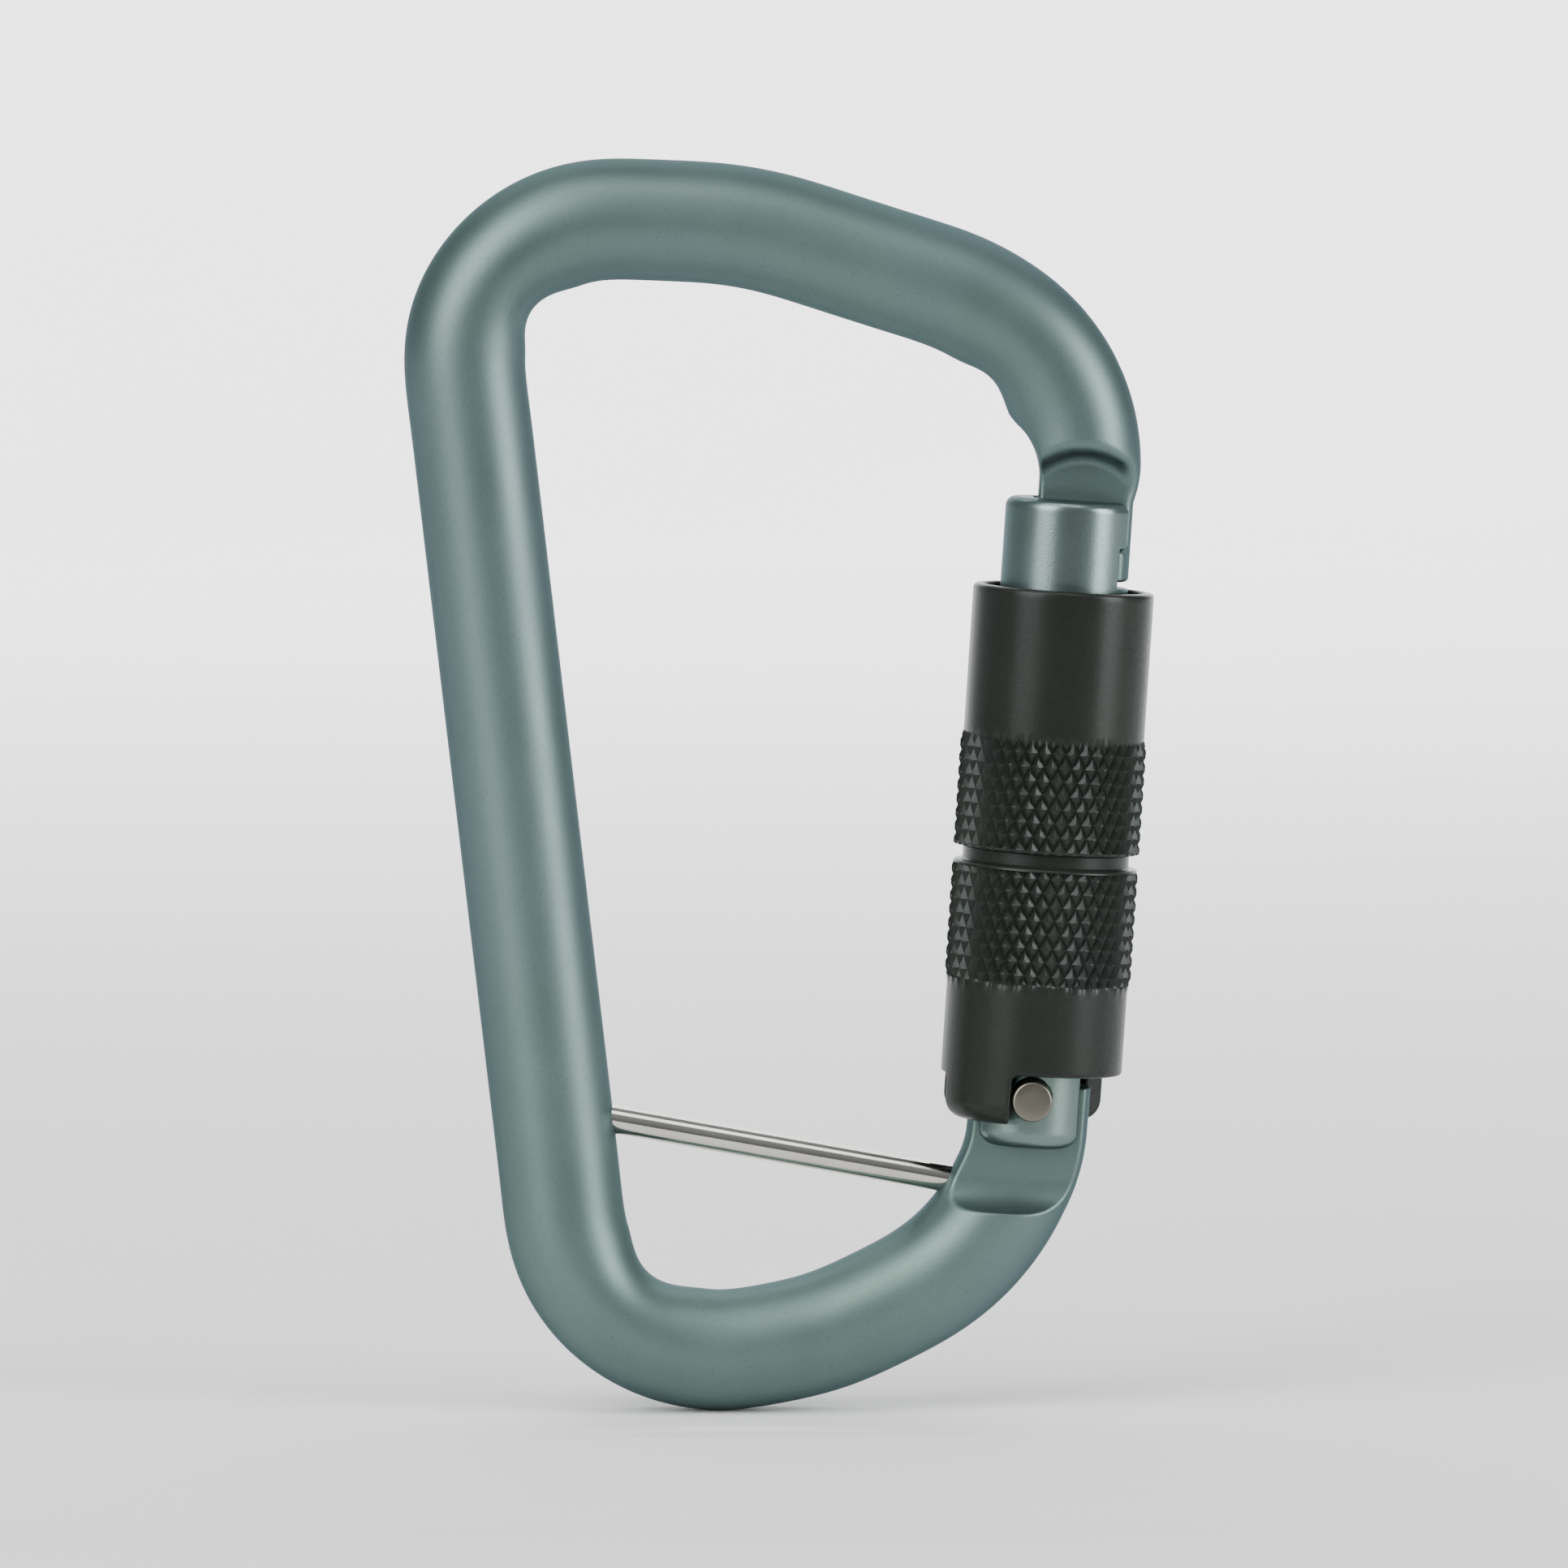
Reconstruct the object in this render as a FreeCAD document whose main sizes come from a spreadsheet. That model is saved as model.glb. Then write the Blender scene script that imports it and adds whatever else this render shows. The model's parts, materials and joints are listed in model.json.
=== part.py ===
"""Locking carabiner with a twist-lock sleeve, as a parametric FreeCAD document (millimetres).

The row frame has +Z up along the carabiner's length, +X towards the gate and -Y towards the
front. Its origin is the inner bearing point of the top basket. The gate, its sleeve and what
is on them are drawn in a frame of their own, the gate frame: its origin is the pivot, its Z
runs up the gate's axis and its X points out of the carabiner.
"""

import FreeCAD
import Part
import Sketcher

import math
import os

from FreeCAD import Placement, Rotation, Vector

SIZES = {
    # cutters: how wide they are, and how far they reach past what they cut
    "cutter": 22.0,
    "margin": 3.0,
    # overall
    "frame_length": 112.7,
    "frame_width": 67.4,
    "bar_radius": 5.45,
    # where the gate stands, as shares of the overall sizes
    "pivot_across": 0.5199,
    "pivot_down": 0.6513,
    "gate_share": 0.4774,
    "gate_lean": 3.77,
    # nose of the frame
    "nose_offset": 1.7,
    "nose_reach": 7.1,
    "nose_radius": 5.9,
    "tongue_half": 1.9,
    "tongue_inner": 2.85,
    "key_half": 3.0,
    "key_height": 2.7,
    "nose_mill_radius": 7.5,
    "nose_mill_rise": 2.4,
    "throat_radius": 6.0,
    "throat_rise": 1.6,
    # tang of the frame
    "tang_half": 2.3,
    "tang_drop": 7.35,
    "tang_top": 1.0,
    "tang_mill_radius": 3.1,
    "cam_radius": 4.1,
    "cam_offset": 1.2,
    "pivot_clearance": 0.05,
    # captive pin
    "pin_radius": 1.25,
    "pin_start_across": 0.0386,
    "pin_start_down": 0.6717,
    "pin_end_across": 0.4095,
    "pin_end_down": 0.7196,
    "pin_seat": 4.0,
    # gate
    "gate_radius": 5.1,
    "head_radius": 5.75,
    "head_length": 12.4,
    "head_chamfer": 0.5,
    "head_show": 8.0,
    "ear_drop": 4.6,
    "ear_round": 1.3,
    "clevis_half": 2.45,
    "clevis_top": 6.0,
    "slot_gap": 0.25,
    "slot_back_gap": 0.35,
    "slot_floor_gap": 0.6,
    "slot_top_gap": 0.5,
    # rivet
    "rivet_radius": 1.8,
    "rivet_front": 7.9,
    "rivet_rear": 4.9,
    "rivet_chamfer": 0.25,
    # closing spring and plunger
    "plunger_radius": 1.5,
    "plunger_bottom": 4.1,
    "plunger_length": 6.0,
    "bore_clearance": 0.05,
    "bore_top": 27.0,
    "gate_wire_radius": 0.3,
    "gate_coil_radius": 1.05,
    "gate_coil_pitch": 1.55,
    # sleeve
    "sleeve_radius": 8.15,
    "knurl_radius": 8.4,
    "knurl_top": 32.4,
    "groove_top": 22.2,
    "groove_bottom": 20.9,
    "groove_radius": 7.5,
    "knurl_bottom": 10.15,
    "skirt_drop": 2.35,
    "skirt_round": 1.0,
    "rim_round": 0.4,
    "rim_bore": 7.25,
    "rim_floor": 35.4,
    "coil_bore": 6.6,
    "guide_top": 12.0,
    "guide_clearance": 0.08,
    "skirt_bore": 6.2,
    "skirt_bore_top": 7.0,
    "notch_top": 2.25,
    "notch_edge": 1.97,
    "notch_start": -90.0,
    "notch_sweep": 124.0,
    "relief_half": 2.6,
    "relief_top": 1.6,
    # sleeve spring
    "sleeve_wire_radius": 0.42,
    "sleeve_coil_radius": 5.85,
    "sleeve_coil_pitch": 2.6,
    # rings at the top of the sleeve
    "ring_drop": 2.3,
    "ring_height": 1.5,
    "ring_clearance": 0.06,
    "snap_height": 0.8,
    "snap_depth": 0.4,
    "snap_proud": 0.5,
}

# Corners of the bar's centreline from the nose round to the tang, as the name, the share of
# the frame's width, the share of its length and the bend radius as a share of the width.
BENDS = (
    ("nose", 0.5853, -0.0654, 0.2343),
    ("shoulder", 0.4243, -0.0098, 0.1727),
    ("crown", 0.1405, 0.0445, 0.5371),
    ("top_corner", -0.1448, 0.0505, 0.2025),
    ("spine_top", -0.2408, -0.0391, 0.1700),
    ("spine_bottom", -0.0917, -0.8077, 0.1984),
    ("bottom_corner", 0.0632, -0.8645, 0.2165),
    ("basket", 0.2470, -0.8440, 0.3407),
    ("elbow", 0.4438, -0.7860, 0.3100),
    ("tang_bend", 0.5134, -0.7010, 0.2000),
)

FULL_TURN = 360.0
ALONG_Y = Rotation(Vector(1, 0, 0), -90)
ALONG_X = Rotation(Vector(0, 1, 0), 90)
UPRIGHT = Rotation()

doc = FreeCAD.newDocument("carabiner")
sheet = doc.addObject("Spreadsheet::Sheet", "Sizes")
for row, (alias, value) in enumerate(SIZES.items(), start=1):
    sheet.set(f"A{row}", alias)
    sheet.set(f"B{row}", str(value))
    sheet.setAlias(f"B{row}", alias)
doc.recompute()


def size(alias):
    """The number in one cell of the sheet."""
    return float(sheet.get(alias))


MARGIN = size("margin")
HALF_CUTTER = size("cutter") / 2


def gate_height():
    """Height of the gate's top above the pivot, along the gate's axis."""
    return size("frame_length") * size("gate_share")


GATE_HEIGHT = "(Sizes.frame_length * Sizes.gate_share)"
SLEEVE_TOP = f"({GATE_HEIGHT} - Sizes.head_show)"
RING_TOP = f"({SLEEVE_TOP} - Sizes.ring_drop)"

GATE_FRAME = Placement(
    Vector(
        size("frame_width") * size("pivot_across"),
        0,
        -size("frame_length") * size("pivot_down"),
    ),
    Rotation(Vector(0, 1, 0), size("gate_lean")),
)


def on_gate(piece, x, y, z, turn=UPRIGHT):
    """Place a piece at a point of the gate frame."""
    piece.Placement = GATE_FRAME.multiply(Placement(Vector(x, y, z), turn))
    return piece


def bind(piece, **expressions):
    """Bind properties of an object to expressions of the sheet."""
    for name, text in expressions.items():
        piece.setExpression(name, text)
    return piece


def box(name, length, width, height):
    """A block whose three sizes are expressions."""
    piece = doc.addObject("Part::Box", name)
    return bind(piece, Length=length, Width=width, Height=height)


def rod(name, radius, height):
    """A cylinder whose radius and height are expressions."""
    piece = doc.addObject("Part::Cylinder", name)
    return bind(piece, Radius=radius, Height=height)


def joined(name, pieces):
    """Several pieces fused into one."""
    fuse = doc.addObject("Part::MultiFuse", name)
    fuse.Shapes = pieces
    return fuse


def cut(name, base, tool):
    """One piece with another taken out of it."""
    piece = doc.addObject("Part::Cut", name)
    piece.Base = base
    piece.Tool = tool
    return piece


def plane_of(body, role):
    """One of a body's own origin planes."""
    return next(f for f in body.Origin.OriginFeatures if f.Role == role)


def outline_sketch(body, name, corners):
    """A closed outline on the body's XZ plane, each corner held by two expressions."""
    sketch = body.newObject("Sketcher::SketchObject", name)
    sketch.AttachmentSupport = [(plane_of(body, "XZ_Plane"), "")]
    sketch.MapMode = "FlatFace"
    points = [
        Vector(float(sheet.evalExpression(across)), float(sheet.evalExpression(up)), 0)
        for across, up in corners
    ]
    count = len(points)
    for index, point in enumerate(points):
        sketch.addGeometry(Part.LineSegment(point, points[(index + 1) % count]), False)
    sketch_x = ("DistanceX", 0, -2)
    sketch_y = ("DistanceY", 1, -1)
    for index, point in enumerate(points):
        following = (index + 1) % count
        sketch.addConstraint(Sketcher.Constraint("Coincident", index, 2, following, 1))
        for kind, axis, line in (sketch_x, sketch_y):
            text = corners[index][axis]
            if text == "0":
                sketch.addConstraint(Sketcher.Constraint("PointOnObject", index, 1, line))
                continue
            held = Sketcher.Constraint(kind, -1, 1, index, 1, point[axis])
            number = sketch.addConstraint(held)
            label = f"{'across' if axis == 0 else 'up'}_{index}"
            sketch.renameConstraint(number, label)
            sketch.setExpression(f"Constraints.{label}", text)
    return sketch


def turned_body(name, corners):
    """A body turned about the gate's axis from an outline of radii and heights."""
    body = doc.addObject("PartDesign::Body", name)
    sketch = outline_sketch(body, name + "_profile", corners)
    turn = body.newObject("PartDesign::Revolution", name + "_turning")
    turn.Profile = sketch
    turn.ReferenceAxis = (sketch, ["V_Axis"])
    turn.Angle = FULL_TURN
    body.Tip = turn
    body.Placement = GATE_FRAME
    return body


def coil(name, radius, wire_radius, pitch, bottom, height):
    """A helical spring about the gate's axis, standing on a given height."""
    spine = doc.addObject("Part::Helix", name + "_helix")
    bind(spine, Radius=radius, Pitch=pitch, Height=height)
    wire = doc.addObject("Part::Circle", name + "_wire")
    bind(wire, Radius=wire_radius)
    start = float(sheet.evalExpression(bottom))
    on_gate(spine, 0, 0, start)
    on_gate(wire, float(sheet.evalExpression(radius)), 0, start, ALONG_Y)
    spring = doc.addObject("Part::Sweep", name)
    spring.Sections = [wire]
    spring.Spine = (spine, [])
    spring.Solid = True
    spring.Frenet = True
    spring.Transition = "Transformed"
    return spring


# ---------------------------------------------------------------- frame


def centreline_corners():
    """Points and bend radii of the bar's centreline, nose end first."""
    width = size("frame_width")
    length = size("frame_length")
    nose_end = GATE_FRAME.multVec(
        Vector(size("nose_offset"), 0, gate_height() - size("nose_reach") - MARGIN)
    )
    tang_end = GATE_FRAME.multVec(Vector(0, 0, size("tang_top")))
    points = [nose_end]
    radii = []
    for _, across, up, radius in BENDS:
        points.append(Vector(across * width, 0, up * length))
        radii.append(radius * width)
    points.append(tang_end)
    return points, radii


def rounded_path(points, radii):
    """Straight runs through the points, joined by tangent arcs."""
    edges = []
    start = points[0]
    for index, radius in enumerate(radii, start=1):
        corner = points[index]
        back = (points[index - 1] - corner).normalize()
        ahead = (points[index + 1] - corner).normalize()
        half = back.getAngle(ahead) / 2
        reach = radius / math.tan(half)
        middle = (back + ahead).normalize()
        arc_start = corner + back * reach
        arc_end = corner + ahead * reach
        crest = corner + middle * (radius / math.sin(half) - radius)
        edges.append(Part.LineSegment(start, arc_start).toShape())
        edges.append(Part.Arc(arc_start, crest, arc_end).toShape())
        start = arc_end
    edges.append(Part.LineSegment(start, points[-1]).toShape())
    return Part.Wire(edges)


def make_bar():
    """The round bar along the whole centreline."""
    points, radii = centreline_corners()
    line = doc.addObject("Part::Feature", "bar_centreline")
    line.Shape = rounded_path(points, radii)
    section = doc.addObject("Part::Circle", "bar_section")
    bind(section, Radius="Sizes.bar_radius")
    heading = points[1] - points[0]
    section.Placement = Placement(points[0], Rotation(Vector(0, 0, 1), heading))
    bar = doc.addObject("Part::Sweep", "bar")
    bar.Sections = [section]
    bar.Spine = (line, [])
    bar.Solid = True
    bar.Transition = "Transformed"
    return bar


def make_nose_cuts():
    """What is milled off the nose: both cheeks beside the tongue, and the throat inside it."""
    top = gate_height()
    reach = size("nose_reach")
    key = size("key_height")
    tongue = size("tongue_half")
    cheek = "(Sizes.cutter / 2)"
    mill_centre = top - size("nose_mill_rise")
    tools = []
    for side, name in ((-1, "front"), (1, "rear")):
        neck = box(f"neck_cut_{name}", "Sizes.cutter", cheek, "(Sizes.nose_reach - Sizes.key_height)")
        low = tongue if side > 0 else -tongue - HALF_CUTTER
        on_gate(neck, -HALF_CUTTER, low, top - reach + key)
        arc = rod(f"neck_mill_{name}", "Sizes.nose_mill_radius", cheek)
        on_gate(arc, size("nose_offset"), low, mill_centre, ALONG_Y)
        key_low = size("key_half") if side > 0 else -size("key_half") - HALF_CUTTER
        head = box(f"key_cut_{name}", "Sizes.cutter", cheek, "(Sizes.nose_reach + Sizes.margin)")
        on_gate(head, -HALF_CUTTER, key_low, top - reach - MARGIN)
        tools += [neck, arc, head]
    tip = box("tip_cut", "Sizes.cutter", "Sizes.cutter", "Sizes.cutter")
    on_gate(tip, -HALF_CUTTER, -HALF_CUTTER, top - reach - size("cutter"))
    return tools + [tip]


def make_throat_cut():
    """The cut that sets the tongue's inner face, with a round run-out at its top."""
    top = gate_height()
    reach = size("nose_reach")
    radius = size("throat_radius")
    face = -size("tongue_inner")
    rise = "(Sizes.nose_reach + Sizes.throat_rise + Sizes.margin)"
    block = box("throat_cut", "(2 * Sizes.throat_radius)", "Sizes.cutter", rise)
    on_gate(block, face - 2 * radius, -HALF_CUTTER, top - reach - MARGIN)
    arc = rod("throat_mill", "Sizes.throat_radius", "Sizes.cutter")
    on_gate(arc, face - radius, -HALF_CUTTER, top + size("throat_rise"), ALONG_Y)
    return [block, arc]


def make_nose_trim():
    """The ring that trims the tongue's outer edge to the gate's outline."""
    top = gate_height()
    reach = size("nose_reach")
    rise = "(Sizes.nose_reach + Sizes.margin)"
    outer = rod("trim_outer", "(Sizes.cutter / 2)", rise)
    inner = rod("trim_inner", "Sizes.nose_radius", rise)
    for piece in (outer, inner):
        on_gate(piece, 0, 0, top - reach - MARGIN)
    return cut("nose_trim", outer, inner)


def make_tang_cuts():
    """The two flats of the tang, each with the round run-out that the cutter leaves."""
    drop = size("tang_drop")
    half = size("tang_half")
    radius = size("tang_mill_radius")
    rise = "(Sizes.tang_drop + Sizes.bar_radius)"
    tools = []
    for side, name in ((-1, "front"), (1, "rear")):
        flat = box(f"tang_flat_{name}", "Sizes.cutter", "(Sizes.cutter / 2)", rise)
        low = half if side > 0 else -half - HALF_CUTTER
        on_gate(flat, -HALF_CUTTER, low, -drop)
        runout = rod(f"tang_mill_{name}", "Sizes.tang_mill_radius", "Sizes.cutter")
        on_gate(runout, -HALF_CUTTER, side * (half + radius), -drop, ALONG_X)
        tools += [flat, runout]
    return tools


def pin_ends():
    """Both visible ends of the captive pin, spine side first."""
    width = size("frame_width")
    length = size("frame_length")
    start = Vector(size("pin_start_across") * -width, 0, -length * size("pin_start_down"))
    end = Vector(size("pin_end_across") * width, 0, -length * size("pin_end_down"))
    return start, end


def make_pin(name):
    """The captive pin, seated in the spine and in the arm."""
    start, end = pin_ends()
    heading = (end - start).normalize()
    seat = size("pin_seat")
    pin = doc.addObject("Part::Cylinder", name)
    bind(pin, Radius="Sizes.pin_radius")
    pin.Height = (end - start).Length + 2 * seat
    pin.Placement = Placement(start - heading * seat, Rotation(Vector(0, 0, 1), heading))
    return pin


def make_frame():
    """The frame: the bar, its nose and tang, and the holes for the rivet and the pin."""
    cam = rod("tang_cam", "Sizes.cam_radius", "(2 * Sizes.tang_half)")
    on_gate(cam, -size("cam_offset"), -size("tang_half"), 0, ALONG_Y)
    hole_radius = "(Sizes.rivet_radius + Sizes.pivot_clearance)"
    rivet_hole = rod("tang_hole", hole_radius, "Sizes.cutter")
    on_gate(rivet_hole, 0, -HALF_CUTTER, 0, ALONG_Y)
    tools = make_nose_cuts() + make_throat_cut() + [make_nose_trim()] + make_tang_cuts()
    milled = cut("milled_bar", make_bar(), joined("milling", tools))
    blank = joined("frame_blank", [milled, cam])
    return cut("frame_body", blank, joined("frame_holes", [rivet_hole, make_pin("pin_hole")]))


# ---------------------------------------------------------------- gate


def make_gate():
    """The gate rod: head with the keyed slot, stem, fork for the tang and spring bore."""
    head_bottom = f"({GATE_HEIGHT} - Sizes.head_length)"
    snap_top = f"({RING_TOP} + Sizes.snap_height)"
    snap_floor = "(Sizes.head_radius - Sizes.snap_depth)"
    rod_body = turned_body(
        "gate_rod",
        (
            ("0", "-Sizes.ear_drop"),
            ("Sizes.gate_radius - Sizes.ear_round", "-Sizes.ear_drop"),
            ("Sizes.gate_radius", "-Sizes.ear_drop + Sizes.ear_round"),
            ("Sizes.gate_radius", head_bottom),
            ("Sizes.head_radius", head_bottom),
            ("Sizes.head_radius", RING_TOP),
            (snap_floor, RING_TOP),
            (snap_floor, snap_top),
            ("Sizes.head_radius", snap_top),
            ("Sizes.head_radius", f"{GATE_HEIGHT} - Sizes.head_chamfer"),
            ("Sizes.head_radius - Sizes.head_chamfer", GATE_HEIGHT),
            ("0", GATE_HEIGHT),
        ),
    )
    top = gate_height()
    gap = size("slot_gap")
    back = size("tongue_inner") + size("slot_back_gap")
    key_floor = top - size("nose_reach") - size("slot_floor_gap")
    key_wide = size("key_half") + gap
    neck_wide = size("tongue_half") + gap
    key_slot = box(
        "key_slot",
        "Sizes.cutter",
        "(2 * (Sizes.key_half + Sizes.slot_gap))",
        "(Sizes.key_height + Sizes.slot_floor_gap + Sizes.slot_top_gap)",
    )
    on_gate(key_slot, -back, -key_wide, key_floor)
    neck_slot = box(
        "neck_slot",
        "Sizes.cutter",
        "(2 * (Sizes.tongue_half + Sizes.slot_gap))",
        "(Sizes.nose_reach + Sizes.margin)",
    )
    on_gate(neck_slot, -back, -neck_wide, key_floor)
    fork = box(
        "fork_slot",
        "Sizes.cutter",
        "(2 * Sizes.clevis_half)",
        "(Sizes.clevis_top + Sizes.ear_drop + Sizes.margin)",
    )
    on_gate(fork, -HALF_CUTTER, -size("clevis_half"), -size("ear_drop") - MARGIN)
    bore = rod(
        "spring_bore",
        "(Sizes.plunger_radius + Sizes.bore_clearance)",
        "(Sizes.bore_top - Sizes.clevis_top + Sizes.margin)",
    )
    on_gate(bore, 0, 0, size("clevis_top") - MARGIN)
    rivet_bore = rod("ear_holes", "Sizes.rivet_radius", "Sizes.cutter")
    on_gate(rivet_bore, 0, -HALF_CUTTER, 0, ALONG_Y)
    slots = joined("gate_cuts", [key_slot, neck_slot, fork, bore, rivet_bore])
    return cut("gate_body", rod_body, slots)


def make_rivet():
    """The rivet through both ears, with a chamfered front face."""
    shank = rod(
        "rivet_shank",
        "Sizes.rivet_radius",
        "(Sizes.rivet_front + Sizes.rivet_rear - Sizes.rivet_chamfer)",
    )
    on_gate(shank, 0, -size("rivet_front") + size("rivet_chamfer"), 0, ALONG_Y)
    face = doc.addObject("Part::Cone", "rivet_face")
    bind(
        face,
        Radius1="Sizes.rivet_radius - Sizes.rivet_chamfer",
        Radius2="Sizes.rivet_radius",
        Height="Sizes.rivet_chamfer",
    )
    on_gate(face, 0, -size("rivet_front"), 0, ALONG_Y)
    return joined("pivot_rivet", [shank, face])


def make_plunger():
    """The plunger under the closing spring, with a blunt tip for the cam."""
    tip = "(Sizes.plunger_radius / 2)"
    top = "(Sizes.plunger_bottom + Sizes.plunger_length)"
    return turned_body(
        "gate_plunger",
        (
            ("0", "Sizes.plunger_bottom"),
            (tip, "Sizes.plunger_bottom"),
            ("Sizes.plunger_radius", f"Sizes.plunger_bottom + {tip}"),
            ("Sizes.plunger_radius", top),
            ("0", top),
        ),
    )


def make_gate_spring():
    """The closing spring, from the plunger's top to the end of the bore."""
    bottom = "(Sizes.plunger_bottom + Sizes.plunger_length + Sizes.gate_wire_radius)"
    return coil(
        "gate_spring",
        "Sizes.gate_coil_radius",
        "Sizes.gate_wire_radius",
        "Sizes.gate_coil_pitch",
        bottom,
        f"(Sizes.bore_top - {bottom} - Sizes.gate_wire_radius)",
    )


# ---------------------------------------------------------------- sleeve


def make_sleeve():
    """The locking sleeve: knurled grip, spring chamber, guiding bore, skirt and notch."""
    guide_radius = "(Sizes.gate_radius + Sizes.guide_clearance)"
    shell = turned_body(
        "sleeve_shell",
        (
            ("Sizes.skirt_bore", "-Sizes.skirt_drop"),
            ("Sizes.sleeve_radius - Sizes.skirt_round", "-Sizes.skirt_drop"),
            ("Sizes.sleeve_radius", "-Sizes.skirt_drop + Sizes.skirt_round"),
            ("Sizes.sleeve_radius", "Sizes.knurl_bottom"),
            ("Sizes.knurl_radius", "Sizes.knurl_bottom"),
            ("Sizes.knurl_radius", "Sizes.groove_bottom"),
            ("Sizes.groove_radius", "Sizes.groove_bottom"),
            ("Sizes.groove_radius", "Sizes.groove_top"),
            ("Sizes.knurl_radius", "Sizes.groove_top"),
            ("Sizes.knurl_radius", "Sizes.knurl_top"),
            ("Sizes.sleeve_radius", "Sizes.knurl_top"),
            ("Sizes.sleeve_radius", f"{SLEEVE_TOP} - Sizes.rim_round"),
            ("Sizes.sleeve_radius - Sizes.rim_round", SLEEVE_TOP),
            ("Sizes.rim_bore", SLEEVE_TOP),
            ("Sizes.rim_bore", "Sizes.rim_floor"),
            ("Sizes.coil_bore", "Sizes.rim_floor"),
            ("Sizes.coil_bore", "Sizes.guide_top"),
            (guide_radius, "Sizes.guide_top"),
            (guide_radius, "Sizes.skirt_bore_top"),
            ("Sizes.skirt_bore", "Sizes.skirt_bore_top"),
        ),
    )
    low = -size("skirt_drop") - MARGIN
    rise = "(Sizes.skirt_drop + Sizes.notch_top + Sizes.margin)"
    notch = rod("skirt_notch", "(Sizes.cutter / 2)", rise)
    bind(notch, Angle="Sizes.notch_sweep")
    on_gate(notch, 0, 0, low, Rotation(Vector(0, 0, 1), size("notch_start")))
    edge = box("notch_edge_cut", "Sizes.notch_edge", "(Sizes.cutter / 2)", rise)
    on_gate(edge, -size("notch_edge"), -HALF_CUTTER, low)
    relief_rise = "(Sizes.skirt_drop + Sizes.relief_top + Sizes.margin)"
    relief = box("tang_relief", "(Sizes.cutter / 2)", "(2 * Sizes.relief_half)", relief_rise)
    on_gate(relief, -HALF_CUTTER, -size("relief_half"), low)
    return cut("lock_sleeve", shell, joined("sleeve_cuts", [notch, edge, relief]))


def make_sleeve_spring():
    """The torsion spring between the gate and the sleeve."""
    bottom = "(Sizes.guide_top + Sizes.sleeve_wire_radius + Sizes.guide_clearance)"
    return coil(
        "sleeve_spring",
        "Sizes.sleeve_coil_radius",
        "Sizes.sleeve_wire_radius",
        "Sizes.sleeve_coil_pitch",
        bottom,
        f"(Sizes.rim_floor - {bottom})",
    )


def make_guide_ring():
    """The ring on the gate's head that centres the top of the sleeve."""
    outer = "(Sizes.rim_bore - Sizes.ring_clearance)"
    return turned_body(
        "guide_ring",
        (
            ("Sizes.head_radius", f"{RING_TOP} - Sizes.ring_height"),
            (outer, f"{RING_TOP} - Sizes.ring_height"),
            (outer, RING_TOP),
            ("Sizes.head_radius", RING_TOP),
        ),
    )


def make_snap_ring():
    """The snap ring in the gate's groove, on top of the guide ring."""
    inner = "(Sizes.head_radius - Sizes.snap_depth)"
    outer = "(Sizes.head_radius + Sizes.snap_proud)"
    top = f"{RING_TOP} + Sizes.snap_height"
    return turned_body(
        "snap_ring",
        ((inner, RING_TOP), (outer, RING_TOP), (outer, top), (inner, top)),
    )


# ---------------------------------------------------------------- export


def check(nodes):
    """Stop if any object failed, or if a sub-part has no valid solid."""
    doc.recompute()
    for item in doc.Objects:
        if "Invalid" in item.State or "Error" in item.State:
            raise SystemExit(f"{item.Name} failed: {item.State}")
    for node in nodes:
        shape = node.Shape
        if shape.isNull() or not shape.isValid() or not shape.Solids:
            raise SystemExit(f"{node.Label} has no valid solid")


def export(nodes):
    """Write one file for each sub-part."""
    os.makedirs("parts", exist_ok=True)
    for node in nodes:
        node.Shape.exportStep(f"parts/{node.Label}.step")
        extent = node.Shape.BoundBox
        print(
            f"{node.Label}: {len(node.Shape.Solids)} solid, {node.Shape.Volume:.1f} mm3, "
            f"x {extent.XMin:.2f}..{extent.XMax:.2f} y {extent.YMin:.2f}..{extent.YMax:.2f} "
            f"z {extent.ZMin:.2f}..{extent.ZMax:.2f}"
        )


sub_parts = [
    make_frame(),
    make_pin("captive_pin"),
    make_gate(),
    make_rivet(),
    make_plunger(),
    make_gate_spring(),
    make_sleeve(),
    make_sleeve_spring(),
    make_guide_ring(),
    make_snap_ring(),
]
check(sub_parts)
export(sub_parts)
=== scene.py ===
"""Visual model of a twist-lock carabiner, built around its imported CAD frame.

Lengths in this file are millimetres until a mesh is made. Most pieces are drawn in the gate
frame: origin at the pivot, Z up the gate's axis, X out of the carabiner, Y to the rear.
"""

import json
import math

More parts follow.
